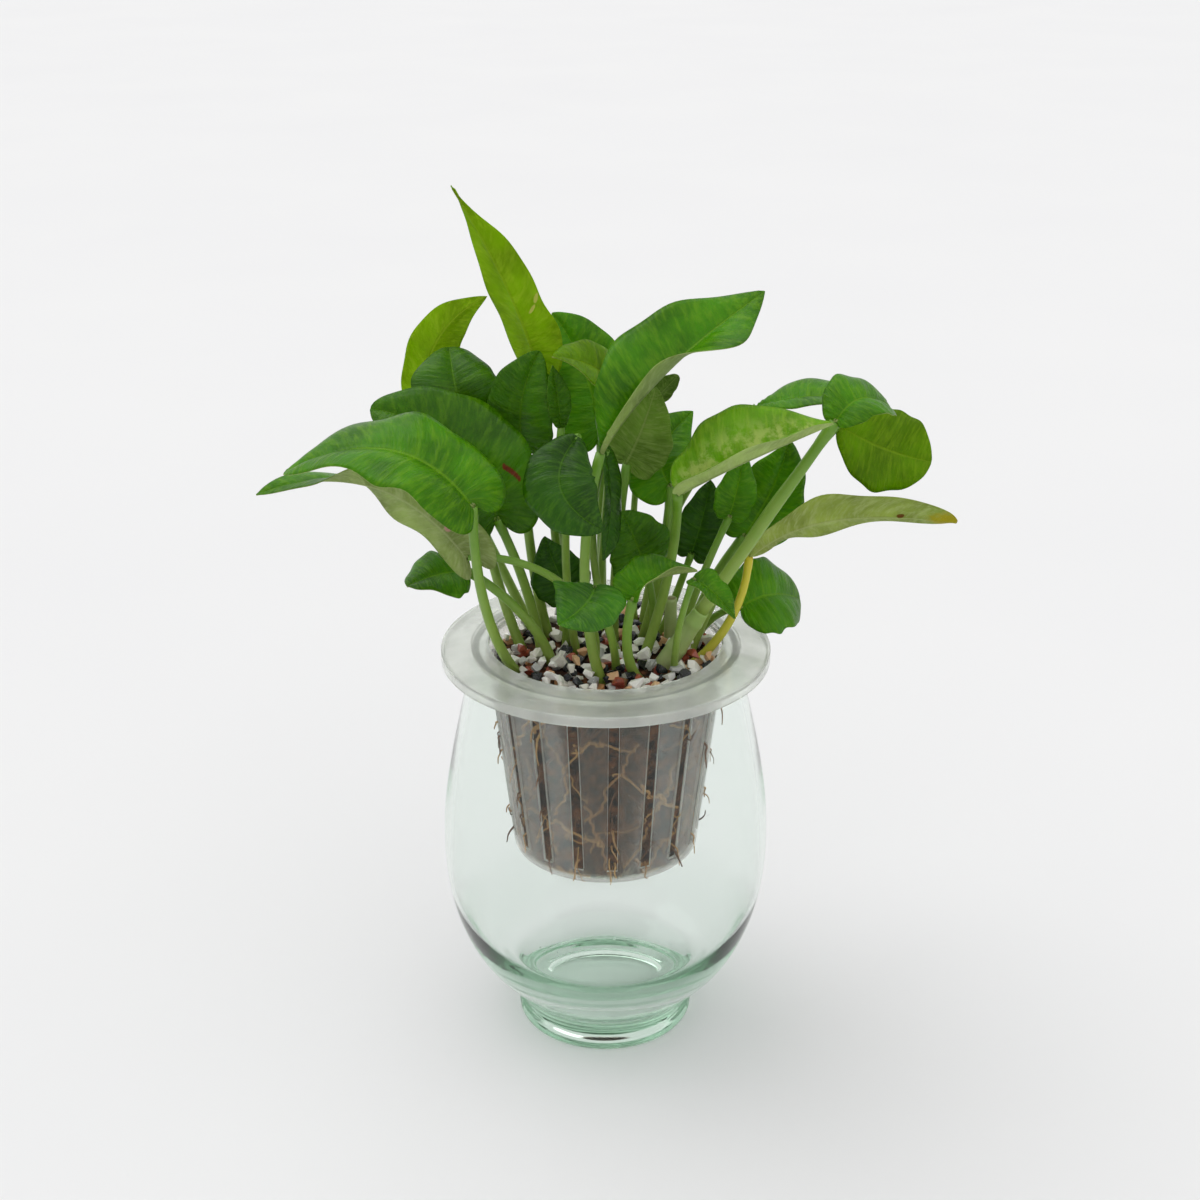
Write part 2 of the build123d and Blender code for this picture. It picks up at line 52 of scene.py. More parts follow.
# The leaves, as in the part's source. Root: shares of the bed's radius, None on the vine stem.
# Bend: from the root. Base, middle, tip: on the midrib, heights above the bed. Then width, the
# way the upper side faces, how far the two halves fold up in degrees, and the stalk's radius
LEAVES = {
    "left": {
        "crown": ((-0.36, 0.4), (-5, 2, 59), (-26, 22, 114), (-39, 26, 147), (-57, 20, 182),
            30, (0.6, 0.8, 0.25), 10, 10, 2.0),
        "young": ((-0.62, 0.45), (-24, 14, 45), (-72, 44, 84), (-68, 46, 114), (-46, 38, 136),
            22, (0.2, 0.9, 0.5), 8, 8, 2.0),
        "left_upper": ((-0.74, 0.18), (-14, 10, 43), (-53, 27, 81), (-57, 17, 103), (-61, 34, 117),
            40, (0.1, -1, 0.4), 4, 4, 2.0),
        "left_dark": ((-0.56, 0.09), (-7, -8, 35), (-41, -12, 63), (-58, -4, 90), (-89, 6, 101),
            44, (-0.1, -0.75, 0.85), 10, 10, 2.0),
        "left_front": ((-0.76, -0.27), (-12, -32, 52), (-47, -52, 83), (-76, -46, 102), (-115, -40, 91),
            46, (0.05, -0.3, 1), 10, 10, 2.0),
        "left_under": ((-0.11, -0.18), (-27, -18, 51), (-51, -30, 55), (-86, -24, 81), (-130, -18, 75),
            36, (0.1, 0.75, 0.65), 6, 6, 1.6),
        "left_low": ((-0.47, -0.11), (-13, -9, 27), (-53, -10, 41), (-63, -15, 42), (-75, -22, 40),
            28, (-0.1, -0.45, 1), 4, 4, 2.0),
        "centre_dark": ((-0.51, 0.45), (-7, -6, 42), (-32, 14, 83), (-32, 11, 103), (-25, 14, 121),
            28, (-0.2, -1, 0.25), 14, 14, 2.0),
    },
    "centre": {
        "sliver": ((-0.2, 0.62), (-8, -16, 49), (-17, 4, 94), (-18, 4, 105), (-20, 5, 118),
            10, (0.4, -1, 0.2), 10, 10, 1.6),
        "back": ((-0.04, 0.8), (0, 0, 40), (-2, 40, 79), (-9, 44, 106), (-21, 44, 128),
            38, (0.3, -1, 0.3), 6, 6, 2.0),
        "yellow": ((-0.07, 0.45), (3, 4, 53), (5, 16, 107), (-7, 11, 117), (-20, 3, 122),
            24, (0.1, -0.6, 1), 8, 8, 1.6),
        "right_tall": ((-0.02, -0.54), (-7, -4, 49), (-2, -26, 94), (21, -16, 121), (59, 14, 144),
            41, (-0.2, -0.9, 0.35), 76, 6, 2.0),
        "front_round": ((-0.25, 0.07), (-4, -15, 46), (-10, -40, 105), (-16, -54, 91), (-1, -60, 77),
            27, (-0.2, -0.9, 0.45), 2, 2, 1.6),
        "edge": ((0.13, 0.02), (-11, 1, 53), (0, -8, 89), (2, -16, 69), (-1, -24, 51),
            19, (1, -0.35, 0.2), 6, 6, 1.6),
        "olive": ((0.07, 0.36), (1, -7, 38), (8, 6, 79), (14, 8, 92), (19, 10, 108),
            28, (0.6, 0.7, 0.4), 8, 8, 2.0),
        "pale_lobe": ((0.27, 0.71), (-1, 2, 45), (16, 32, 94), (22, 32, 100), (28, 30, 107),
            9, (0.5, 0.6, 0.6), 8, 8, 1.4),
        "centre_olive": ((0.36, 0.16), (2, -7, 25), (15, 0, 39), (11, -4, 52), (6, -6, 64),
            28, (0.2, -0.9, 0.5), 6, 6, 1.6),
        "low_back": ((-0.36, 0.22), (1, -5, 17), (-14, 2, 27), (-19, 3, 36), (-24, 6, 49),
            24, (-0.1, -1, 0.3), 8, 8, 1.6),
        "front_gloss": ((0.09, -0.31), (-3, -22, 30), (-4, -46, 50), (-8, -57, 47), (-17, -64, 43),
            29, (0, -0.8, 0.8), 10, 10, 1.6),
        "low_right": ((0.31, -0.42), (-6, -15, 23), (10, -38, 41), (17, -34, 48), (34, -28, 49),
            26, (-0.2, -0.5, 1), 50, 8, 2.0),
    },
    "right": {
        "mottled": ((0.31, -0.09), (11, -8, 47), (26, -30, 80), (51, -30, 93), (82, -24, 105),
            43, (0.05, -0.7, 1), 70, 25, 2.0),
        "right_back": ((0.31, 0.31), (8, -6, 38), (25, 8, 69), (22, 16, 81), (34, 28, 93),
            30, (-0.3, -1, 0.5), 8, 8, 2.0),
        "far_arch": (None, (23, -4, 39), (84, -14, 102), (95, -6, 109), (108, 4, 100),
            26, (-0.1, -0.6, 1), 10, 10, 2.4),
        "far_hanging": ((0.74, 0.09), (19, 5, 40), (90, 20, 90), (108, 22, 80), (127, 20, 75),
            34, (0.1, -0.9, 0.4), 4, 4, 1.6),
        "far_back": ((0.33, 0.58), (14, 8, 50), (60, 44, 90), (86, 46, 94), (112, 44, 92),
            28, (0, -0.1, 1), 8, 8, 1.6),
        "right_long": ((0.74, -0.09), (19, 0, 27), (55, -4, 45), (87, 4, 57), (137, 12, 53),
            31, (-0.1, 0.75, 0.65), 10, 10, 1.8),
        "right_round": ((0.78, 0.28), (8, -3, 13), (53, 4, 20), (66, 10, 23), (79, 26, 14),
            34, (-0.3, -1, 0.7), 4, 4, 1.6),
        "right_small": ((0.6, -0.36), (1, -18, 31), (32, -42, 51), (39, -46, 48), (47, -50, 39),
            15, (0.4, -0.4, 0.8), 20, 20, 1.4),
        "right_mid": ((0.62, 0.13), (9, -8, 34), (47, -4, 61), (50, -2, 72), (53, 6, 84),
            17, (0.2, -1, 0.3), 8, 8, 1.6),
        "back_right": ((0.74, 0.38), (10, 5, 24), (55, 22, 43), (66, 26, 62), (72, 26, 82),
            32, (0.3, -0.9, 0.5), 8, 8, 2.0),
        "back_dark": ((0.49, 0.49), (8, -3, 24), (34, 16, 38), (38, 16, 53), (41, 18, 68),
            20, (0, -1, 0.4), 6, 6, 1.6),
    },
}


def linear(red, green, blue):
    """A display colour of 0 to 255 as the linear colour that shaders take."""
    channels = []
    for channel in (red / 255, green / 255, blue / 255):
        low = channel <= 0.04045
        channels.append(channel / 12.92 if low else ((channel + 0.055) / 1.055) ** 2.4)
    return (*channels, 1.0)


def unit(vectors):
    """Vectors scaled to length 1."""
    return vectors / np.linalg.norm(vectors, axis=-1, keepdims=True)


def smooth_curve(points, count, even=False):
    """Points on a natural cubic spline through a row of points."""
    points = np.array(points, float)
    last = len(points) - 1
    steps = np.ones(last) if even else np.linalg.norm(np.diff(points, axis=0), axis=1)
    knots = np.concatenate([[0], np.cumsum(steps)])
    system = np.eye(last + 1)
    right = np.zeros_like(points)
    for i in range(1, last):
        system[i, i - 1 : i + 2] = steps[i - 1], 2 * (steps[i - 1] + steps[i]), steps[i]
        after = (points[i + 1] - points[i]) / steps[i]
        before = (points[i] - points[i - 1]) / steps[i - 1]
        right[i] = 6 * (after - before)
    bend = np.linalg.solve(system, right)
    at = np.linspace(0, knots[-1], count)
    k = np.clip(np.searchsorted(knots, at) - 1, 0, last - 1)
    a = ((knots[k + 1] - at) / steps[k])[:, None]
    b = 1 - a
    curved = (a**3 - a) * bend[k] + (b**3 - b) * bend[k + 1]
    return a * points[k] + b * points[k + 1] + curved * (steps[k] ** 2)[:, None] / 6


def arc_points(start, through, end, count):
    """Points on the circle's arc through three points."""
    start, through, end = (np.array(p, float) for p in (start, through, end))
    u, v = through - start, end - start
    normal = np.cross(u, v)
    if np.linalg.norm(normal) < 1e-6:
        return start + np.linspace(0, 1, count)[:, None] * v
    centre = start + (
        np.dot(u, u) * np.cross(v, normal) - np.dot(v, v) * np.cross(u, normal)
    ) / (2 * np.dot(normal, normal))
    x_axis = start - centre
    y_axis = np.cross(unit(normal), x_axis)
    turn = math.atan2(np.dot(end - centre, y_axis), np.dot(end - centre, x_axis))
    angles = np.linspace(0, turn % (2 * math.pi), count)[:, None]
    return centre + x_axis * np.cos(angles) + y_axis * np.sin(angles)


def ring_face(row, column, columns):
    """Corners of the face after a point in a grid of rings that close on themselves."""
    after = (column + 1) % columns
    low, high = row * columns, (row + 1) * columns
    return low + column, low + after, high + after, high + column


def add_object(name, data):
    """A new object in the scene, from a mesh, a light or a camera."""
    made = bpy.data.objects.new(name, data)
    bpy.context.scene.collection.objects.link(made)
    return made


class Build:
    """Vertices, faces and per-face materials of one mesh as it is put together, in millimetres."""

    def __init__(self):
        self.vertices = []
        self.faces = []
        self.looks = []
        self.tints = []

    def add(self, vertices, faces, look=0, tint=0.5):
        first = len(self.vertices)
        self.vertices += [tuple(v) for v in vertices]
        self.faces += [tuple(first + i for i in face) for face in faces]
        self.looks += [look] * len(faces)
        self.tints += list(np.broadcast_to(tint, len(vertices)))

    def tube(self, path, radii, sides=10, look=0, tint=0.5):
        """A round tube along a path, with a radius at each of its points and closed ends."""
        path = np.array(path, float)
        radii = np.broadcast_to(radii, len(path))
        along = unit(np.gradient(path, axis=0))
        across = np.cross(along[0], (0.31, 0.87, 0.39))
        rings = []
        for point, direction, radius in zip(path, along, radii):
            across = unit(across - np.dot(across, direction) * direction)
            other = np.cross(direction, across)
            turns = np.linspace(0, 2 * math.pi, sides, endpoint=False)[:, None]
            rings.append(point + radius * (np.cos(turns) * across + np.sin(turns) * other))
        count = len(path)
        faces = [ring_face(i, j, sides) for i in range(count - 1) for j in range(sides)]
        faces.append(tuple(range(sides))[::-1])
        faces.append(tuple((count - 1) * sides + j for j in range(sides)))
        self.add(np.concatenate(rings), faces, look, np.repeat(np.broadcast_to(tint, count), sides))

    def turned(self, profile, columns, look=0, wobble=None):
        """A profile of (radius, height) turned about the vertical axis. Its ends may be on the axis."""
        rings, vertices = [], []
        for radius, height in profile:
            if radius < 1e-6:
                rings.append([len(vertices)] * columns)
                vertices.append((0, 0, height))
                continue
            rings.append(list(range(len(vertices), len(vertices) + columns)))
            for j in range(columns):
                angle = 2 * math.pi * j / columns
                r = radius + (wobble(radius, angle, height) if wobble else 0)
                vertices.append((r * math.cos(angle), r * math.sin(angle), height))
        faces = []
        for low, high in zip(rings, rings[1:]):
            for j in range(columns):
                corners = (low[j], low[(j + 1) % columns], high[(j + 1) % columns], high[j])
                faces.append(tuple(dict.fromkeys(corners)))
        self.add(vertices, faces, look)

    def piece(self, name, materials, body, slot, nodes=(), smooth=True, uvs=None, merge=True):
        """Make the Blender object, ride it on its body and put it in place of its CAD nodes."""
        mesh = bpy.data.meshes.new(name)
        mesh.from_pydata((np.array(self.vertices) * MM).tolist(), [], self.faces)
        mesh.attributes.new("tint", "FLOAT", "POINT").data.foreach_set("value", self.tints)
        for material in materials:
            mesh.materials.append(material)
        mesh.polygons.foreach_set("material_index", self.looks)
        if uvs is not None:
            layer = mesh.uv_layers.new(name="blade")
            corner = np.zeros(len(mesh.loops), int)
            mesh.loops.foreach_get("vertex_index", corner)
            layer.data.foreach_set("uv", np.array(uvs)[corner].ravel())
        tidy = bmesh.new()
        tidy.from_mesh(mesh)
        if merge:
            bmesh.ops.remove_doubles(tidy, verts=tidy.verts, dist=1e-6)
        bmesh.ops.recalc_face_normals(tidy, faces=tidy.faces)
        tidy.to_mesh(mesh)
        tidy.free()
        mesh.polygons.foreach_set("use_smooth", [smooth] * len(mesh.polygons))
        made = add_object(name, mesh)
        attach(made, body)
        if nodes:
            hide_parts(*nodes)
        return made


class Shader:
    """The node tree of a material or of the world, put together a node at a time."""

    def __init__(self, name, kind="Material"):
        owners = bpy.data.worlds if kind == "World" else bpy.data.materials
        self.owner = owners.new(name)
        self.owner.use_nodes = True
        self.tree = self.owner.node_tree
        self.tree.nodes.clear()
        self.output = self.tree.nodes.new(f"ShaderNodeOutput{kind}")

    def node(self, kind, inputs=None, **settings):
        """A node with its settings, and values or links on its inputs."""
        made = self.tree.nodes.new(kind)
        for key, value in settings.items():
            setattr(made, key, value)
        for key, value in (inputs or {}).items():
            if isinstance(value, bpy.types.NodeSocket):
                self.tree.links.new(value, made.inputs[key])
            else:
                made.inputs[key].default_value = value
        return made

    def math(self, operation, a, b=0.0, clamp=False):
        settings = {"operation": operation, "use_clamp": clamp}
        return self.node("ShaderNodeMath", {0: a, 1: b}, **settings).outputs[0]

    def times(self, a, b):
        return self.math("MULTIPLY", a, b)

    def plus(self, a, b, clamp=False):
        return self.math("ADD", a, b, clamp)

    def minus(self, a, b):
        return self.math("SUBTRACT", a, b)

    def step(self, value, low, high):
        """0 below low, 1 above high and smooth between them."""
        inputs = {"Value": value, "From Min": low, "From Max": high}
        return self.node("ShaderNodeMapRange", inputs, interpolation_type="SMOOTHSTEP").outputs[0]

    def fade(self, value, low, high):
        """1 below low, 0 above high and smooth between them."""
        return self.minus(1.0, self.step(value, low, high))

    def blend(self, factor, a, b):
        """A mix of two colours."""
        return self.node("ShaderNodeMix", {0: factor, 6: a, 7: b}, data_type="RGBA").outputs[2]

    def mix(self, factor, a, b):
        """A mix of two shaders."""
        return self.node("ShaderNodeMixShader", {0: factor, 1: a.outputs[0], 2: b.outputs[0]})

    def noise(self, scale, detail=3.0, roughness=0.55, vector=None):
        """Fractal noise over the object's own space, its scale per metre, or over another vector."""
        if vector is None:
            vector = self.node("ShaderNodeTexCoord").outputs["Object"]
        inputs = {"Vector": vector, "Scale": scale, "Detail": detail, "Roughness": roughness}
        return self.node("ShaderNodeTexNoise", inputs).outputs["Fac"]

    def tint(self):
        """The shade stored at the mesh's points."""
        return self.node("ShaderNodeAttribute", attribute_name="tint").outputs["Fac"]

    def bump(self, height, strength, distance):
        inputs = {"Height": height, "Strength": strength, "Distance": distance}
        return self.node("ShaderNodeBump", inputs).outputs[0]

    def principled(self, **inputs):
        named = {key.replace("_", " "): value for key, value in inputs.items()}
        return self.node("ShaderNodeBsdfPrincipled", named)

    def clear_shadow(self, body, colour, share=None):
        """The shader, but light that casts its shadow passes in a colour, wholly or in part."""
        passing = self.node("ShaderNodeBsdfTransparent", {"Color": colour})
        shadow = self.node("ShaderNodeLightPath").outputs["Is Shadow Ray"]
        if share is not None:
            shadow = self.times(shadow, share)
        return self.mix(shadow, body, passing)

    def surface(self, shader):
        self.tree.links.new(shader.outputs[0], self.output.inputs["Surface"])
        return self.owner


def glass_material():
    """Pale green recycled glass: clear where it is thin, green where light goes far through it."""
    s = Shader("green_glass")
    seeds = s.step(s.noise(420.0, 1.0), 0.74, 0.78)
    waves = s.times(s.noise(38.0, 2.0), 0.7)
    clear = s.principled(
        Base_Color=(0.985, 1.0, 0.992, 1.0),
        Roughness=0.015,
        IOR=1.5,
        Specular_Tint=(0.5, 0.54, 0.52, 1.0),
        Transmission_Weight=1.0,
        Normal=s.bump(s.plus(waves, seeds), 0.05, 0.0006),
    )
    inside = s.node("ShaderNodeVolumeAbsorption", {"Color": (0.40, 0.67, 0.49, 1.0), "Density": 22.0})
    s.tree.links.new(inside.outputs[0], s.output.inputs["Volume"])
    return s.surface(s.clear_shadow(clear, (0.965, 0.98, 0.97, 1.0)))


def plastic_material(name, colour, clear, roughness, shine=1.0, cover=1.0):
    """Milky moulded plastic that lets part of the light through."""
    s = Shader(name)
    grain = s.noise(900.0, 2.0)
    cloud = s.noise(60.0, 3.0)
    darker = [channel - 16 for channel in colour]
    body = s.principled(
        Base_Color=s.blend(s.step(cloud, 0.35, 0.7), linear(*colour), linear(*darker)),
        Roughness=roughness,
        IOR=1.49,
        Specular_Tint=(shine, shine, shine, 1.0),
        Transmission_Weight=clear,
        Alpha=cover,
        Normal=s.bump(s.plus(grain, cloud), 0.12, 0.0003),
    )
    return s.surface(s.clear_shadow(body, (0.9, 0.92, 0.91, 1.0), clear))


def medium_material():
    """Moist coir and peat: dark brown crumbs with paler bits."""
    s = Shader("growing_medium")
    crumbs = s.noise(520.0, 5.0, 0.65)
    patches = s.step(s.noise(190.0, 5.0, 0.65), 0.40, 0.66)
    base = s.blend(patches, linear(34, 18, 10), linear(116, 72, 42))
    body = s.principled(
        Base_Color=s.blend(s.step(crumbs, 0.60, 0.72), base, linear(150, 112, 76)),
        Roughness=0.85,
        Specular_IOR_Level=0.3,
        Normal=s.bump(crumbs, 0.8, 0.0012),
    )
    return s.surface(body)


def root_material(name, dark, light):
    """Dry root skin, each root in its own shade, with streaks."""
    s = Shader(name)
    streaks = s.noise(700.0, 4.0)
    share = s.plus(s.times(s.tint(), 0.6), s.times(streaks, 0.5), clamp=True)
    colour = s.blend(share, linear(*dark), linear(*light))
    return s.surface(s.principled(Base_Color=colour, Roughness=0.7, Normal=s.bump(streaks, 0.4, 0.0003)))


def stone_material(name, dark, light, roughness, speck=None):
    """A broken stone chip: each chip has its own shade, with a fine grain."""
    s = Shader(name)
    grain = s.noise(1600.0, 3.0)
    clouds = s.noise(340.0, 3.0)
    share = s.plus(s.times(s.tint(), 0.75), s.times(clouds, 0.35), clamp=True)
    colour = s.blend(share, linear(*dark), linear(*light))
    if speck:
        colour = s.blend(s.step(grain, 0.62, 0.72), colour, linear(*speck))
    normal = s.bump(grain, 0.35, 0.0004)
    return s.surface(s.principled(Base_Color=colour, Roughness=roughness, Normal=normal))


def stalk_material(name, base, tip):
    """A leaf stalk: its colour changes from the foot to the top, with blotches and a fine grain."""
    s = Shader(name)
    blotches = s.times(s.minus(s.noise(160.0, 3.0), 0.5), 0.5)
    share = s.plus(s.tint(), blotches, clamp=True)
    body = s.principled(
        Base_Color=s.blend(share, linear(*base), linear(*tip)),
        Roughness=0.42,
        Subsurface_Weight=0.25,
        Subsurface_Radius=(0.6, 1.0, 0.2),
        Subsurface_Scale=0.0012,
        Normal=s.bump(s.noise(1100.0, 2.0), 0.2, 0.0002),
    )
    return s.surface(body)


def blade_veins(s, side, along):
    """1 on a blade's midrib, and less on its side veins."""
    wander = s.times(s.noise(110.0, 2.0), 0.12)
    count = s.plus(s.times(along, SIDE_VEINS), wander)
    beat = s.math("ABSOLUTE", s.minus(s.math("FRACT", count), 0.5))
    lines = s.times(s.fade(beat, 0.015, 0.075), s.fade(side, 0.35, 0.95))
    return s.math("MAXIMUM", s.fade(side, 0.012, 0.05), s.times(lines, 0.28), clamp=True)


def blade_mark(s, across, along, grain, place, reach):
    """1 inside an ellipse on a blade, with a ragged edge."""
    far = s.times(grain, 0.8)
    for axis, centre, radius in zip((across, along), place, reach):
        share = s.math("DIVIDE", s.minus(axis, centre), radius)
        far = s.plus(far, s.times(share, share))
    return s.fade(far, 0.8, 1.4)


def blade_material(name, colour, vein, through, gloss, share, shine, fleck=None, marks=()):
    """One side of a leaf blade. Its map runs across the blade and along the rows of side veins."""
    s = Shader(name)
    place = s.node("ShaderNodeUVMap", uv_map="blade").outputs[0]
    across, along = s.node("ShaderNodeSeparateXYZ", {0: place}).outputs[:2]
    side = s.math("ABSOLUTE", s.minus(s.times(across, 2.0), 1.0))
    veins = blade_veins(s, side, along)
    cloud = s.noise(48.0, 4.0)
    fine = s.noise(420.0, 3.0)
    rows = {0: s.times(across, 5.0), 1: s.times(along, 64.0), 2: cloud}
    streaks = s.noise(1.0, 3.0, 0.6, s.node("ShaderNodeCombineXYZ", rows).outputs[0])
    dark, light = ((*[gain * c for c in linear(*colour)[:3]], 1.0) for gain in (0.62, 1.28))
    shade = s.blend(s.step(cloud, 0.28, 0.74), dark, light)
    # Streaks along the rows of side veins, lightening the colour towards the vein colour: partly the
    # leaf's own fine vein lines, partly painted sheen
    shade = s.blend(s.times(s.step(streaks, 0.4, 0.72), 0.55), shade, linear(*vein))
    shade = s.blend(s.times(s.step(fine, 0.5, 0.8), 0.15), shade, linear(*vein))
    shade = s.blend(s.times(veins, 0.6), shade, linear(*vein))
    if fleck:
        spots = s.times(s.step(s.noise(150.0, 6.0, 0.7), 0.44, 0.60), s.fade(side, 0.15, 0.8))
        shade = s.blend(s.times(spots, 0.8), shade, linear(*fleck))
    for u, v, wide, long, mark in marks:
        shade = s.blend(blade_mark(s, across, along, fine, (u, v), (wide, long)), shade, linear(*mark))
    height = s.plus(s.times(veins, -0.6), s.times(fine, 0.25))
    height = s.plus(height, s.times(streaks, 1.6))
    normal = s.bump(height, 0.55, 0.0007)
    body = s.principled(
        Base_Color=shade,
        Roughness=s.plus(gloss, s.times(fine, 0.16)),
        Specular_IOR_Level=shine,
        Normal=normal,
    )
    passing = s.blend(0.5, shade, linear(*through))
    glow = s.node("ShaderNodeBsdfTranslucent", {"Color": passing, "Normal": normal})
    return s.surface(s.mix(share, body, glow))


# Rows of a blade from the stalk to the tip: place on the midrib, place of the row's end along the
# blade, both as shares of its length, and the end's share of the half width. A heart-shaped base
# has lobes on both sides of the stalk, a tapered one narrows into it
HEART_ROWS = (
    (0, -0.004, 0.03), (0.003, -0.075, 0.15), (0.008, -0.125, 0.36), (0.016, -0.12, 0.62),
    (0.032, -0.05, 0.85), (0.075, 0.075, 0.98), (0.15, 0.22, 1), (0.26, 0.38, 0.94),
    (0.4, 0.54, 0.8), (0.56, 0.69, 0.58), (0.72, 0.82, 0.34), (0.86, 0.92, 0.15),
    (0.96, 0.975, 0.055), (1, 1, 0.004),
)
TAPER_ROWS = (
    (0, 0, 0.03), (0.015, 0.018, 0.09), (0.035, 0.042, 0.17), (0.065, 0.078, 0.28),
    (0.105, 0.125, 0.42), (0.16, 0.19, 0.59), (0.235, 0.28, 0.78), (0.33, 0.39, 0.93),
    (0.445, 0.51, 1), (0.57, 0.635, 0.96), (0.7, 0.755, 0.76), (0.83, 0.865, 0.44),
    (0.94, 0.955, 0.15), (1, 1, 0.004),
)
ROW_COUNT = 66
HALF_COLUMNS = 9
BLADE_THICKNESS = 0.5
EDGE_THINNING = 0.22


def over_bed(point):
    return np.array(point, float) + (0, 0, BED_LEVEL)


def stalk_path(root, bend, base, count=26):
    """Points on a stalk's arc, from the bed or the vine stem to the blade."""
    if root is None:
        foot = start = STEM_TOP
    else:
        start = np.array((root[0] * BED_RADIUS, root[1] * BED_RADIUS, BED_LEVEL))
        foot = start - (0, 0, 2)
    return arc_points(foot, start + bend, over_bed(base), count)


def blade_sides(name, leaf, look):
    """Points of a blade's upper and lower side in rows from stalk to tip, and its map's (u, v)."""
    base, middle, tip, width, face, left, right, radius = leaf[2:]
    arch, wave, waves, curl, blunt, lobe, twist = look[1:]
    base, middle, tip = over_bed(base), over_bed(middle), over_bed(tip)
    knee = 2 * middle - (base + tip) / 2
    seed = sum(map(ord, name)) % 97

    # Each row runs from the midrib out and forward to the edge
    shape = lobe * np.array(HEART_ROWS) + (1 - lobe) * np.array(TAPER_ROWS)
    widest = int(np.argmax(shape[:, 2]))
    shape[widest:, 2] **= blunt
    rows = smooth_curve(shape, ROW_COUNT, even=True)
    across = np.linspace(-1, 1, 2 * HALF_COLUMNS + 1)
    q = np.abs(across)[None, :]
    along = rows[:, :1] + (rows[:, 1:2] - rows[:, :1]) * q**1.25
    uneven = 0.05 * np.sin(9.0 * along + seed + (across > 0) * 2.3)
    uneven = uneven + 0.03 * np.sin(23.0 * along + 2 * seed)
    reach = rows[:, 2:3] * q * width / 2 * (1 + uneven * q)

    # The midrib is a curve through base, middle and tip, about which the blade twists
    s = along[..., None]
    point = base * (1 - s) ** 2 + knee * 2 * s * (1 - s) + tip * s**2
    direction = unit((knee - base) * (1 - s) + (tip - knee) * s)
    sideways = unit(np.cross(np.array(face, float), direction))
    up = np.cross(direction, sideways)
    late = np.clip((s - 0.4) / 0.6, 0, 1)
    late = late**2 * (3 - 2 * late)
    turn = math.radians(twist) * late
    c, d = np.cos(turn), np.sin(turn)
    sideways, up = sideways * c + up * d, up * c - sideways * d
    at_base, at_tip = FOLDS.get(name, (1.0, 1.0))
    rise = np.where(across < 0, math.radians(left), math.radians(right))[None, :]
    rise = rise * (at_base + (at_tip - at_base) * late[..., 0])

    # Heights over the folded halves, in mm
    row_share = np.linspace(0, 1, ROW_COUNT)[:, None]
    fade = np.sin(math.pi * np.clip(row_share * 1.04, 0, 1)) ** 0.6
    ripple = wave * q**2 * np.sin(2 * math.pi * waves * along + seed + (across > 0) * 1.9) * fade
    pillow = arch * width / 2 * 2.6 * (q - q**1.8) * fade
    quilt = 0.5 * np.sin(math.pi * SIDE_VEINS * row_share) ** 2 * 4 * (q - q**2) * fade
    droop = -curl * width / 2 * q**3 * fade
    groove = -0.35 * np.exp(-((reach / 0.9) ** 2)) * fade
    height = reach * np.sin(rise) + ripple + pillow + quilt + droop + groove
    spread = np.sign(across)[None, :] * reach * np.cos(rise)
    top = point + sideways * spread[..., None] + up * height[..., None]

    # The underside has a keel along the midrib, as thick as the stalk asks
    keel = 0.9 * radius / 2.0 * np.exp(-((reach / 1.1) ** 2)) * (1 - 0.8 * row_share)
    thick = BLADE_THICKNESS - EDGE_THINNING * q**2 + keel
    normal = unit(np.cross(np.gradient(top, axis=0), np.gradient(top, axis=1)))
    under = top - normal * thick[..., None]
    u, v = np.broadcast_arrays((across + 1)[None, :] / 2, row_share)
    return top.reshape(-1, 3), under.reshape(-1, 3), np.stack([u, v], axis=-1).reshape(-1, 2)


def blade(name, leaf, look):
    """One leaf blade as a closed thin shell with veins, pillowed halves and a waved edge."""
    top, under, uvs = blade_sides(name, leaf, look)
    columns = 2 * HALF_COLUMNS + 1
    count = len(top)
    made = Build()
    faces, looks = [], []
    for i in range(ROW_COUNT - 1):
        for j in range(columns - 1):
            a, b = i * columns + j, (i + 1) * columns + j
            faces += [(a, a + 1, b + 1, b), (count + a, count + b, count + b + 1, count + a + 1)]
            looks += [0, 1]
    border = list(range(columns))
    border += [i * columns + columns - 1 for i in range(1, ROW_COUNT)]
    border += [(ROW_COUNT - 1) * columns + j for j in range(columns - 2, -1, -1)]
    border += [i * columns for i in range(ROW_COUNT - 2, 0, -1)]
    for a, b in zip(border, border[1:] + border[:1]):
        faces.append((a, count + a, count + b, b))
        looks.append(1)
    made.add(np.concatenate([top, under]), faces)
    made.looks = looks
    kind = look[0]
    materials = MARKED_LOOKS.get(name, BLADE_LOOKS[kind])
    nodes = [f"leaf_{name}"]
    map_points = np.tile(uvs, (2, 1))
    made.piece(f"blade_{name}", materials, "basket", BLADE_SLOTS[kind], nodes, uvs=map_points, merge=False)


# Blades whose fold changes along them: its share of the angle above at the base and at the tip
FOLDS = {"right_tall": (1.2, 0.1), "mottled": (1.0, 0.7)}

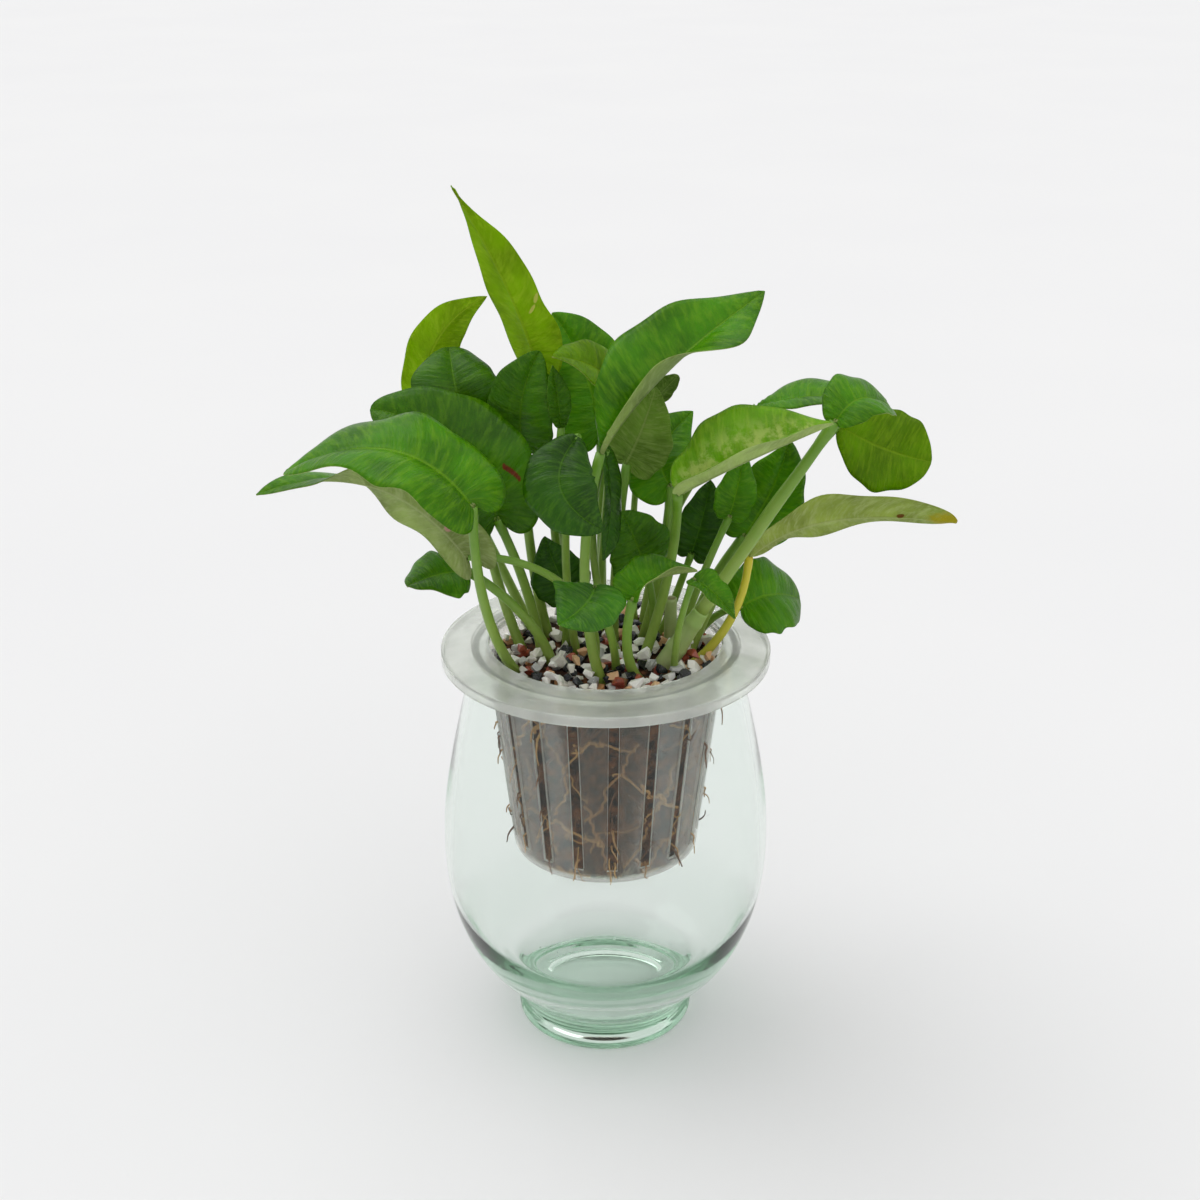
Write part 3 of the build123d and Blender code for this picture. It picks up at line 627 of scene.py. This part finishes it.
# Looks of the blades: kind, how much each half pillows, edge wave in mm, waves, droop of the edge,
# how slowly the blade narrows towards its tip (less is blunter), how heart-shaped its base is, and
# how far it twists towards its tip in degrees
PLAIN_LOOK = ("bright", 0.10, 0.6, 2.0, 0.04, 0.9, 0.7, 10)
LOOKS = {
    "crown": ("yellow", 0.06, 0.8, 1.8, 0.02, 1.6, 0.8, 18),
    "young": ("yellow", 0.06, 0.5, 1.5, 0.02, 0.9, 0.6, -35),
    "left_upper": ("dark", 0.14, 0.4, 1.5, 0.10, 0.5, 0.8, 0),
    "left_dark": ("dark", 0.10, 1.3, 2.2, 0.06, 0.6, 0.8, -10),
    "left_front": ("bright", 0.12, 1.5, 2.4, 0.08, 0.65, 0.7, 14),
    "left_under": ("bright", 0.06, 1.6, 2.3, 0.02, 0.9, 0.7, -75),
    "left_low": ("bright", 0.10, 0.6, 2.0, 0.12, 0.5, 0.5, 20),
    "centre_dark": ("dark", 0.08, 0.5, 2.0, 0.02, 0.7, 0.8, 10),
    "sliver": ("dark", 0.05, 0.2, 1.0, 0.0, 0.9, 0.3, 0),
    "back": ("bright", 0.08, 0.6, 2.0, 0.04, 0.8, 0.8, 8),
    "yellow": ("olive", 0.08, 0.4, 1.5, 0.04, 0.9, 0.5, 12),
    "right_tall": ("bright", 0.09, 2.2, 2.3, 0.04, 0.85, 0.0, -6),
    "front_round": ("painted_shade", 0.14, 0.3, 1.5, 0.10, 0.7, 0.25, 0),
    "edge": ("painted_shade", 0.06, 0.3, 1.5, 0.0, 0.8, 0.5, 10),
    "olive": ("dark", 0.08, 0.5, 2.0, 0.02, 0.8, 0.8, 12),
    "pale_lobe": ("dark", 0.06, 0.2, 1.0, 0.0, 0.5, 0.5, 0),
    "centre_olive": ("dark", 0.08, 0.5, 2.0, 0.02, 0.8, 0.8, 15),
    "low_back": ("painted_shade", 0.08, 0.5, 2.0, 0.02, 0.8, 0.8, -12),
    "front_gloss": ("gloss", 0.12, 0.5, 1.5, 0.08, 0.8, 0.5, 14),
    "low_right": ("bright", 0.08, 0.5, 2.0, 0.0, 0.9, 0.4, -12),
    "mottled": ("mottled", 0.10, 1.2, 2.4, 0.06, 0.8, 0.3, -20),
    "far_arch": ("bright", 0.10, 0.6, 2.0, 0.04, 0.5, 0.4, -14),
    "far_hanging": ("olive", 0.08, 1.3, 1.5, 0.04, 0.5, 0.1, 10),
    "far_back": ("bright", 0.08, 0.8, 2.0, 0.04, 0.6, 0.1, 0),
    "right_long": ("olive", 0.06, 1.3, 2.2, 0.02, 0.45, 0.1, 12),
    "right_round": ("bright", 0.10, 0.6, 2.0, 0.06, 0.5, 0.6, -10),
    "back_dark": ("painted_shade", 0.08, 0.5, 2.0, 0.02, 0.8, 0.8, 10),
}
TOP_COLOURS = {
    # colour, veins, light through it, roughness, share of light let through, shine
    "bright": ((70, 134, 0), (122, 174, 28), (150, 215, 2), 0.22, 0.26, 0.18),
    "gloss": ((54, 118, 0), (104, 162, 28), (150, 215, 2), 0.12, 0.22, 0.28),
    "dark": ((58, 110, 0), (98, 146, 22), (130, 195, 2), 0.20, 0.22, 0.18),
    # Next: a darker copy of the leaf green, painted shade for blades that sit in the shade among the
    # others
    "painted_shade": ((38, 84, 0), (76, 124, 18), (110, 175, 2), 0.15, 0.18, 0.2),
    "yellow": ((130, 174, 0), (176, 206, 34), (205, 232, 0), 0.32, 0.46, 0.12),
    "olive": ((104, 152, 0), (146, 182, 36), (175, 215, 0), 0.30, 0.38, 0.14),
    "mottled": ((110, 170, 6), (160, 200, 56), (195, 230, 30), 0.28, 0.3, 0.2),
}
UNDER_COLOURS = {
    "bright": ((160, 180, 100), (194, 206, 144), (170, 212, 60), 0.5, 0.3, 0.12),
    "gloss": ((150, 176, 92), (184, 202, 138), (170, 212, 60), 0.5, 0.3, 0.12),
    "dark": ((112, 148, 50), (154, 180, 96), (130, 190, 20), 0.5, 0.25, 0.12),
    # Next: the underside darkened the same way, painted shade
    "painted_shade": ((84, 124, 36), (134, 164, 80), (110, 175, 20), 0.5, 0.25, 0.12),
    "yellow": ((134, 176, 2), (180, 208, 52), (205, 232, 6), 0.42, 0.46, 0.12),
    "olive": ((162, 178, 84), (206, 214, 148), (205, 226, 80), 0.46, 0.36, 0.12),
    "mottled": ((172, 192, 114), (198, 212, 148), (195, 224, 80), 0.5, 0.3, 0.12),
}
BLADE_SLOTS = {
    "bright": "leaf_bright",
    "gloss": "leaf_bright",
    "dark": "leaf_dark",
    "painted_shade": "leaf_dark",
    "yellow": "leaf_yellow",
    "olive": "leaf_pale",
    "mottled": "leaf_pale",
}
FLECKS = {"mottled": (214, 226, 130)}


def blade_looks(name, kind, over=(), under=()):
    """Materials of a blade's upper and lower side, with the marks on each."""
    return [
        blade_material(f"{name}_blade", *TOP_COLOURS[kind], FLECKS.get(kind), over),
        blade_material(f"{name}_underside", *UNDER_COLOURS[kind], None, under),
    ]


# Blades with marks of their own on the upper or lower side: each mark's place across and along
# the blade, reach across and along, and colour
SCAR, SPOT, SCRATCH, DRY = (112, 40, 18), (206, 160, 144), (226, 212, 120), (186, 166, 30)
LONG_SCAR = [(0.27 - 0.016 * k, 0.487 - 0.0103 * k, 0.021, 0.0115, SCAR) for k in range(7)]
DRY_TIP = [(0.5, 1.0, 0.9, 0.13, DRY)]
SPECKS = [(0.45, 0.82, 0.05, 0.010, SCAR), (0.6, 0.86, 0.04, 0.008, SCAR)]
MARKED = {
    "left_dark": (LONG_SCAR, ()),
    "left_under": ((), [(0.61, 0.446, 0.034, 0.022, SPOT), (0.555, 0.415, 0.030, 0.018, SPOT)]),
    "right_long": ((), DRY_TIP + SPECKS),
    "crown": ((), [(0.72, 0.523, 0.10, 0.007, SCRATCH), (0.90, 0.530, 0.10, 0.009, SCRATCH)]),
}
BLADE_LOOKS = {kind: blade_looks(kind, kind) for kind in TOP_COLOURS}
MARKED_LOOKS = {name: blade_looks(name, LOOKS[name][0], *marks) for name, marks in MARKED.items()}

STEM_FOOT = np.array((0.51 * BED_RADIUS, -0.18 * BED_RADIUS, BED_LEVEL))
STEM_TOP = STEM_FOOT + (14, -3, 25)
STUB_FOOT = np.array((0.58 * BED_RADIUS, 0.29 * BED_RADIUS, BED_LEVEL))

for group in LEAVES.values():
    for name, leaf in group.items():
        blade(name, leaf, LOOKS.get(name, PLAIN_LOOK))

# Leaf stalks: thicker at the foot, slimmer below the blade, with a swollen joint at the top
STALK_SHAPE = ((0.0, 1.16), (0.08, 1.06), (0.3, 1.0), (0.7, 0.92), (0.88, 0.88), (0.95, 1.02), (1.0, 0.9))
STALK_LOOKS = [
    stalk_material("stalk_green", (150, 176, 80), (98, 144, 28)),
    stalk_material("stalk_yellow", (202, 200, 74), (204, 192, 36)),
]
YELLOW_STALKS = ("right_long",)
for side, group in LEAVES.items():
    stalks = Build()
    for name, leaf in group.items():
        path = stalk_path(leaf[0], leaf[1], leaf[2])
        share = np.linspace(0, 1, len(path))
        shares, sizes = zip(*STALK_SHAPE)
        radii = leaf[9] * np.interp(share, shares, sizes)
        stalks.tube(path, radii, 12, int(name in YELLOW_STALKS), share)
    stalks.piece(f"stalks_{side}_look", STALK_LOOKS, "basket", "stalk", [f"stalks_{side}"])

# Vine stem with two growth rings, and the cut stub
STEM_RINGS = ((0.35, 0.45), (0.8, 0.35))
RING_WIDTH = 0.04
STEM_RADIUS, STEM_TAPER = 4.4, 1.2
STUB_HEIGHT = 20.0
STUB_RADIUS, STUB_TAPER, CUT_RADIUS = 2.7, 0.3, 1.9
stem_material = stalk_material("stem_green", (186, 200, 140), (150, 182, 92))
cut_material = root_material("cut_end", (150, 132, 92), (196, 186, 140))
stem = Build()
share = np.linspace(0, 1, 30)
stem_radius = STEM_RADIUS - STEM_TAPER * share
for place, size in STEM_RINGS:
    stem_radius = stem_radius + size * np.exp(-(((share - place) / RING_WIDTH) ** 2))
stem.tube(STEM_FOOT + share[:, None] * (STEM_TOP - STEM_FOOT), stem_radius, 18, 0, share)
stem.piece("vine_stem_look", [stem_material], "basket", "stalk", ["vine_stem"])
stub = Build()
share = np.linspace(0, 1, 14)
stub_path = STUB_FOOT + share[:, None] * np.array((0, 0, STUB_HEIGHT))
stub.tube(stub_path, STUB_RADIUS - STUB_TAPER * share, 16, 0, 0.2)
stub.tube(stub_path[-1:] + [(0, 0, -0.1), (0, 0, 0.0)], CUT_RADIUS, 16, 1, 0.5)
stub.piece("stem_stub_look", [stem_material, cut_material], "basket", "stalk", ["stem_stub"])

# Glass jar: outer profile, rounded rim, inner profile and floor
FOOT_PROFILE = ((30.5, 0.0), (32.6, 0.0), (35.2, 0.15), (36.4, 1.3), (36.3, 4.0), (35.1, 7.2))
BODY_PROFILE = (
    (35.1, 7.2), (36.2, 11.5), (46.2, 23.2), (61.7, 50.2), (66.4, 80.0), (61.0, 127.9), (52.3, 166.2),
)
RIM_PROFILE = ((52.3, 166.2), (52.1, 166.7), (51.5, 167.0), (50.1, 167.0), (49.5, 166.7), (49.3, 166.2))
INNER_PROFILE = (
    (49.3, 166.2), (58.0, 127.9), (63.4, 80.0), (58.4, 50.2), (42.6, 26.2), (37.9, 20.6),
    (36.3, 19.8), (33.0, 17.2), (26.8, 14.3), (25.4, 13.9), (24.6, 13.2),
)
FLOOR_PROFILE = ((24.6, 13.2), (23.6, 12.8), (15.0, 12.7), (8.0, 12.9), (0.0, 13.0))
PUNT_PROFILE = ((0.0, 4.0), (10.0, 3.75), (18.3, 2.9), (26.0, 1.3), (30.5, 0.0))
JAR_COLUMNS = 144


def jar_wobble(radius, angle, height):
    """Small unevenness of hand-made glass, in mm."""
    place = Vector((math.cos(angle) * 1.4, math.sin(angle) * 1.4, height / 34 + radius / 80))
    return 0.22 * noise.noise(place) * min(1.0, radius / 30)


jar_profile = np.concatenate(
    [
        smooth_curve(PUNT_PROFILE, 16)[:-1],
        smooth_curve(FOOT_PROFILE, 18)[:-1],
        smooth_curve(BODY_PROFILE, 64)[:-1],
        np.array(RIM_PROFILE)[:-1],
        smooth_curve(INNER_PROFILE, 150)[:-1],
        smooth_curve(FLOOR_PROFILE, 14),
    ]
)
jar_profile[0][0] = jar_profile[-1][0] = 0.0
jar = Build()
jar.turned(jar_profile, JAR_COLUMNS, 0, jar_wobble)
jar.piece("jar_look", [glass_material()], "jar", "jar_glass", ["glass_jar"])

# Net pot: slotted cone, floor, seat rib, flange and skirt as one closed mesh
POT_FLOOR = 82.0
POT_LIP = 171.5
POT_FLOOR_RADIUS = 37.7
POT_TAPER = 9.5
POT_WALL = 1.2
SLOT_COUNT = 18
SLOT_PITCH = 20.0
SLOT_HALF_WIDTH = 2.0
SLOT_FIRST_ANGLE = -86.0
SLOT_LOW, SLOT_HIGH = 88.0, 159.0
SLOT_LINES = 3
BAR_LINES = 7
DRAIN_COUNT = 6
DRAIN_RADIUS = 20.0
DRAIN_REACH = 5.0
DRAIN_HALF_WIDTH = 2.0


def pot_outside(height):
    return POT_FLOOR_RADIUS + (height - POT_FLOOR) / (POT_LIP - POT_FLOOR) * POT_TAPER


def drain_outline(number):
    """Corners of one radial drain slot in the floor, as (x, y)."""
    corners = []
    for end, first in ((1, -90), (-1, 90)):
        for step in range(8):
            turn = math.radians(first + 180 * step / 7)
            along = DRAIN_RADIUS + end * DRAIN_REACH + DRAIN_HALF_WIDTH * math.cos(turn)
            corners.append((along, DRAIN_HALF_WIDTH * math.sin(turn)))
    angle = 2 * math.pi * number / DRAIN_COUNT
    c, s = math.cos(angle), math.sin(angle)
    return [(x * c - y * s, x * s + y * c) for x, y in corners]


def pot_lines(radius):
    """Angles of the pot's vertical mesh lines, which follow the slots' edges."""
    half = math.degrees(math.asin(SLOT_HALF_WIDTH / max(radius, 36.0)))
    angles = []
    for slot in range(SLOT_COUNT):
        centre = SLOT_FIRST_ANGLE + SLOT_PITCH * slot
        angles += [centre + half * (2 * k / SLOT_LINES - 1) for k in range(SLOT_LINES)]
        bar = SLOT_PITCH - 2 * half
        angles += [centre + half + bar * k / BAR_LINES for k in range(BAR_LINES)]
    return np.radians(angles)


slot_heights = np.linspace(SLOT_LOW, SLOT_HIGH, 9)
wall_heights = [POT_FLOOR + 1.0, 85.0, *slot_heights, 163.0, RIM_LEVEL]
outer_wall = [(pot_outside(z), z) for z in wall_heights]
inner_wall = [(pot_outside(z) - POT_WALL, z) for z in reversed(wall_heights[1:])]
SEAT = (52.9, RIM_LEVEL)
LIP = (45.9, 171.2)
UNDER_FLANGE = ((52.9, 169.2), (58.0, 168.4), (63.4, 167.7), (63.4, 165.0))
SKIRT = ((65.0, 165.0), (65.0, 169.0), (64.7, 169.35))
OVER_FLANGE = ((58.0, 170.2), (52.0, 170.95), (47.6, 171.5), (46.4, 171.6))
FLOOR_TOP = POT_FLOOR + POT_WALL
FLOOR_EDGE = 33.0
pot_profile = [(FLOOR_EDGE, POT_FLOOR), (36.6, POT_FLOOR), *outer_wall, SEAT]
pot_profile += [*UNDER_FLANGE, *SKIRT, *OVER_FLANGE, LIP, *inner_wall]
pot_profile += [(36.0, FLOOR_TOP + 0.3), (34.0, FLOOR_TOP), (FLOOR_EDGE, FLOOR_TOP)]
first_slot_row = pot_profile.index((pot_outside(SLOT_LOW), SLOT_LOW))
slot_rows = len(slot_heights) - 1
inner_slot_row = pot_profile.index((pot_outside(SLOT_HIGH) - POT_WALL, SLOT_HIGH))
columns = SLOT_COUNT * (SLOT_LINES + BAR_LINES)


def pot_corner(row, column):
    return row * columns + column % columns


pot = Build()
pot_points = []
for radius, height in pot_profile:
    for angle in pot_lines(radius):
        pot_points.append((radius * math.cos(angle), radius * math.sin(angle), height))
pot_faces, pot_looks, edge_faces = [], [], []
flange_rows = range(pot_profile.index(SEAT) - 1, pot_profile.index(LIP))
for row in range(len(pot_profile) - 1):
    in_slots = any(first <= row < first + slot_rows for first in (first_slot_row, inner_slot_row))
    for column in range(columns):
        if in_slots and column % (SLOT_LINES + BAR_LINES) < SLOT_LINES:
            continue
        pot_looks.append(2 if row in flange_rows else 0)
        pot_faces.append(ring_face(row, column, columns))
for slot in range(SLOT_COUNT):
    left = slot * (SLOT_LINES + BAR_LINES)
    right = left + SLOT_LINES
    border = [(first_slot_row, c) for c in range(left, right)]
    border += [(first_slot_row + r, right) for r in range(slot_rows)]
    border += [(first_slot_row + slot_rows, c) for c in range(right, left, -1)]
    border += [(first_slot_row + r, left) for r in range(slot_rows, 0, -1)]
    outer = [pot_corner(row, column) for row, column in border]
    last_row = inner_slot_row + slot_rows + first_slot_row
    inner = [pot_corner(last_row - row, column) for row, column in border]
    for k in range(len(border)):
        m = (k + 1) % len(border)
        edge_faces.append((outer[k], outer[m], inner[m], inner[k]))
drains = [drain_outline(number) for number in range(DRAIN_COUNT)]
sheet = bmesh.new()
for outline in [[pot_points[c][:2] for c in range(columns)], *drains]:
    corners = [sheet.verts.new((x, y, 0)) for x, y in outline]
    for a, b in zip(corners, corners[1:] + corners[:1]):
        sheet.edges.new((a, b))
sheet.verts.index_update()
bmesh.ops.triangle_fill(sheet, use_beauty=True, edges=sheet.edges)
floor_faces = [[v.index for v in face.verts] for face in sheet.faces]
sheet.free()
drain_corners = [corner for outline in drains for corner in outline]
for rim_row, height in ((0, POT_FLOOR), (len(pot_profile) - 1, FLOOR_TOP)):
    first = len(pot_points) - columns
    pot_points += [(x, y, height) for x, y in drain_corners]
    for face in floor_faces:
        pot_faces.append(tuple(pot_corner(rim_row, v) if v < columns else first + v for v in face))
        pot_looks.append(0)
per_drain = len(drains[0])
above = len(pot_points) - len(drain_corners)
below = above - len(drain_corners)
for number in range(len(drain_corners)):
    after = number + 1 if (number + 1) % per_drain else number + 1 - per_drain
    edge_faces.append((below + number, below + after, above + after, above + number))
pot.add(pot_points, pot_faces + edge_faces)
pot.looks = pot_looks + [1] * len(edge_faces)
POT_LOOKS = [
    plastic_material("clear_plastic", (240, 228, 216), 0.95, 0.03, 0.4, 0.5),
    plastic_material("cut_plastic", (244, 244, 240), 0.15, 0.35),
    plastic_material("milky_plastic", (246, 249, 243), 0.68, 0.10),
]
pot_look = pot.piece(
    "net_pot_look", POT_LOOKS, "basket", "pot_plastic", ["net_pot"], smooth=False, merge=False
)
rounding = pot_look.modifiers.new("rounding", "BEVEL")
rounding.width = 0.25 * MM
rounding.segments = 2
rounding.limit_method = "ANGLE"
rounding.angle_limit = math.radians(35)


def inside(height):
    """Radius of the root ball's side, just clear of the pot's wall."""
    return pot_outside(height) - POT_WALL - 0.6


# Root ball: a crumbly cone of growing medium
BALL_COLUMNS = 260
CRUMB_SIZE = 3.1
CRUMB_DEPTH = 1.3


def ball_wobble(radius, angle, height):
    """Hollows between the crumbs on the ball's side, in mm."""
    place = Vector((radius * math.cos(angle), radius * math.sin(angle), height)) / CRUMB_SIZE
    rough = noise.fractal(place, 0.9, 2.1, 4)
    return -CRUMB_DEPTH * abs(rough) * min(1.0, radius / 12)


ball_low, ball_high = POT_FLOOR + 1.8, BED_LEVEL + 0.4
ball_profile = [(r, ball_low) for r in (0.0, 12.0, 25.0, 35.0)]
ball_profile += [(inside(z), z) for z in np.linspace(POT_FLOOR + 2.2, BED_LEVEL, 84)]
ball_profile += [(r, ball_high) for r in (40.0, 34.0, 28.0, 22.0, 16.0, 10.0, 5.0, 0.0)]
ball = Build()
ball.turned(ball_profile, BALL_COLUMNS, 0, ball_wobble)
ball.piece("root_ball_look", [medium_material()], "basket", "growing_medium", ["root_ball"])

# Roots on the ball's side, and roots that leave the slots
MAT_ROOTS, SLOT_ROOTS = 150, 96
MAT_LOW, MAT_HIGH = 84.5, 161.0
ROOT_FLOOR = 83.5
POT_RADIUS = 42
dice = random.Random(11)
ROOT_LOOKS = [
    root_material("root_tan", (128, 84, 46), (206, 164, 108)),
    root_material("root_dark", (64, 38, 20), (118, 76, 42)),
]
mat = Build()
for _ in range(MAT_ROOTS):
    angle = dice.uniform(0, 2 * math.pi)
    height = 86 + 72 * dice.random() ** 1.5
    climb = dice.gauss(0, 0.9)
    path = []
    for _ in range(dice.randint(9, 26)):
        path.append((angle, height))
        climb = max(-2.2, min(2.2, climb + dice.gauss(0, 0.5)))
        angle += dice.choice((1, 1, -0.2)) * 1.5 / POT_RADIUS
        height = max(MAT_LOW, min(MAT_HIGH, height + climb))
    size = dice.uniform(0.28, 0.6)
    points = []
    for a, z in path:
        r = inside(z) - 0.1 - size * 0.3
        points.append((r * math.cos(a), r * math.sin(a), z))
    mat.tube(smooth_curve(points, 3 * len(points)), size, 6, int(dice.random() < 0.35), dice.random())
mat.piece("root_mat", ROOT_LOOKS, "basket", "root")

slot_roots = Build()
for number in range(SLOT_ROOTS):
    slot = dice.randrange(SLOT_COUNT)
    angle = math.radians(SLOT_FIRST_ANGLE + SLOT_PITCH * slot) + dice.uniform(-1.2, 1.2) / POT_RADIUS
    height = 90 + 62 * dice.random() ** 1.6
    start = inside(height) - 1.2
    length = dice.uniform(4, 13)
    out = dice.uniform(1.6, 4.6)
    lean = dice.gauss(0, 0.05)
    droop = dice.choice((-1, -1, -1, 0.5))
    points = []
    for t in np.linspace(0, 1, 7):
        r = start + (out + 1.2) * (1 - (1 - t) ** 2.2)
        z = max(height + droop * length * t**1.5, ROOT_FLOOR)
        a = angle + lean * t + 0.012 * math.sin(5 * t + number)
        if t >= 0.3:
            r = max(r, pot_outside(z) + 0.5)
        points.append((r * math.cos(a), r * math.sin(a), z))
    size = dice.uniform(0.22, 0.6)
    taper = np.linspace(size, 0.4 * size, 21)
    slot_roots.tube(smooth_curve(points, 21), taper, 7, int(dice.random() < 0.4), dice.random())
slot_roots.piece("slot_roots_look", ROOT_LOOKS, "basket", "root", ["slot_roots"])

# Gravel: broken chips piled between the stalks. Darkest and lightest colour, roughness, specks
# and share of the chips
STONES = {
    "white": ((226, 220, 208), (254, 253, 249), 0.28, None, 0.38),
    "black": ((8, 9, 12), (36, 39, 47), 0.22, (84, 90, 100), 0.27),
    "red": ((112, 40, 28), (196, 100, 74), 0.3, None, 0.12),
    "tan": ((186, 122, 70), (240, 200, 156), 0.3, None, 0.11),
    "grey": ((126, 128, 130), (204, 203, 200), 0.3, (234, 232, 228), 0.10),
}
standing = [(STEM_FOOT, 5.0), (STUB_FOOT, 3.2)]
for group in LEAVES.values():
    for leaf in group.values():
        if leaf[0] is not None:
            standing.append((stalk_path(leaf[0], leaf[1], leaf[2])[2], leaf[9] * 1.1))
chips = {colour: Build() for colour in STONES}
colours = list(STONES)
shares = [STONES[c][4] for c in colours]
CHIP_CORNERS = 13


def chip(size):
    """Corners and faces of one broken stone, about its own centre."""
    rock = bmesh.new()
    for _ in range(CHIP_CORNERS):
        point = Vector((dice.gauss(0, 1), dice.gauss(0, 1), dice.gauss(0, 1))).normalized()
        rock.verts.new(point * size * dice.uniform(0.82, 1.0))
    hull = bmesh.ops.convex_hull(rock, input=rock.verts)
    spare = [v for v in hull["geom_interior"] if isinstance(v, bmesh.types.BMVert)]
    bmesh.ops.delete(rock, geom=spare, context="VERTS")
    stretch = (dice.uniform(0.8, 1.35), dice.uniform(0.7, 1.1), dice.uniform(0.6, 0.95))
    turn = (dice.uniform(-0.5, 0.5), dice.uniform(-0.5, 0.5), dice.uniform(0, 6.3))
    rock.verts.index_update()
    matrix = Euler(turn).to_matrix()
    corners = [matrix @ Vector([c * k for c, k in zip(v.co, stretch)]) for v in rock.verts]
    faces = [[v.index for v in f.verts] for f in rock.faces]
    rock.free()
    return corners, faces


# Each layer's height, least distance between chips and number of tries. The last one is heaped
GRAVEL_LAYERS = ((164.6, 4.6, 1500), (166.8, 5.2, 1300), (168.6, 6.6, 500))
GRAVEL_RADIUS = 43.2
CHIP_SIZES = (2.2, 3.6)
for level, gap, tries in GRAVEL_LAYERS:
    heaped = level == GRAVEL_LAYERS[-1][0]
    laid = []
    for _ in range(tries):
        r, a = GRAVEL_RADIUS * math.sqrt(dice.random()), dice.uniform(0, 2 * math.pi)
        x, y = r * math.cos(a), r * math.sin(a)
        size = dice.uniform(*CHIP_SIZES)
        rise = 0.8 * x / BED_RADIUS - 0.5 * y / BED_RADIUS
        if heaped and dice.random() > 0.6 + rise:
            continue
        if any((x - p) ** 2 + (y - q) ** 2 < gap**2 for p, q in laid):
            continue
        if any((x - f[0]) ** 2 + (y - f[1]) ** 2 < (rad + size * 0.75) ** 2 for f, rad in standing):
            continue
        laid.append((x, y))
        corners, faces = chip(size)
        colour = dice.choices(colours, shares)[0]
        place = Vector((x, y, level + 0.8 * rise + dice.uniform(-0.5, 0.5)))
        chips[colour].add([place + c for c in corners], faces, 0, dice.random())
for colour, build in chips.items():
    dark, light, roughness, speck, _ = STONES[colour]
    material = stone_material(f"{colour}_stone", dark, light, roughness, speck)
    nodes = [f"gravel_{colour}"]
    slot = f"stone_{colour}"
    build.piece(f"gravel_{colour}_look", [material], "basket", slot, nodes, smooth=False, merge=False)

# Stage: a pale floor, soft light and the photograph's camera. The surround is what the camera,
# reflections and the glass see past the floor; the light comes from a sky brighter overhead
FLOOR_REACH = 9.0
FLOOR_LEVEL = -0.0004
PALE_SURROUND = 0.86
HORIZON_LIGHT, OVERHEAD_LIGHT, OVERHEAD_FROM = 0.4, 0.68, 0.75
LIGHT_BOUNCES = 24

floor_shader = Shader("pale_floor")
pale = floor_shader.blend(floor_shader.noise(3.0, 2.0), linear(236, 236, 237), linear(240, 240, 240))
matt = floor_shader.principled(Base_Color=pale, Roughness=0.9, Specular_IOR_Level=0.1)
floor_mesh = bpy.data.meshes.new("floor")
floor_corners = ((-1, -1), (1, -1), (1, 1), (-1, 1))
floor_points = [(x * FLOOR_REACH, y * FLOOR_REACH, FLOOR_LEVEL) for x, y in floor_corners]
floor_mesh.from_pydata(floor_points, [], [(0, 1, 2, 3)])
floor_mesh.materials.append(floor_shader.surface(matt))
floor = add_object("floor", floor_mesh)

sky = Shader("studio", "World")
direction = sky.node("ShaderNodeTexCoord").outputs["Generated"]
ramp = {
    "Value": sky.node("ShaderNodeSeparateXYZ", {0: direction}).outputs["Z"],
    "From Max": OVERHEAD_FROM,
    "To Min": HORIZON_LIGHT,
    "To Max": OVERHEAD_LIGHT,
}
light = sky.node("ShaderNodeMapRange", ramp).outputs[0]
rays = sky.node("ShaderNodeLightPath").outputs
seen = sky.plus(rays["Is Glossy Ray"], rays["Is Transmission Ray"], clamp=True)
seen = sky.plus(rays["Is Camera Ray"], seen, clamp=True)
strength = sky.node("ShaderNodeMix", {"Factor": seen, "A": light, "B": PALE_SURROUND}).outputs[0]
backdrop = sky.node("ShaderNodeBackground", {"Color": (1, 1, 1, 1), "Strength": strength})


def lamp(name, place, spread, strength):
    """Even soft light from one direction, given as a point it comes from."""
    light = bpy.data.lights.new(name, "SUN")
    light.angle = math.radians(spread)
    light.energy = strength
    made = add_object(name, light)
    made.location = place
    made.rotation_euler = (-Vector(place)).to_track_quat("-Z", "Y").to_euler()


lamp("key", (-0.8, 0.5, 2.0), 55.0, 1.05)
lamp("fill", (0.7, -1.2, 1.8), 80.0, 0.45)

lens = bpy.data.cameras.new("camera")
lens.lens = 54.3
lens.sensor_width = 36.0
lens.clip_start = 0.01
eye = add_object("camera", lens)
eye.location = (0.0, -0.650, 0.469)
eye.rotation_euler = (math.radians(66.6), 0.0, math.radians(0.2))

scene = bpy.context.scene
scene.world = sky.surface(backdrop)
scene.camera = eye
scene.view_settings.view_transform = "Standard"
scene.cycles.max_bounces = LIGHT_BOUNCES
scene.cycles.glossy_bounces = LIGHT_BOUNCES
scene.cycles.transmission_bounces = LIGHT_BOUNCES
scene.cycles.transparent_max_bounces = LIGHT_BOUNCES
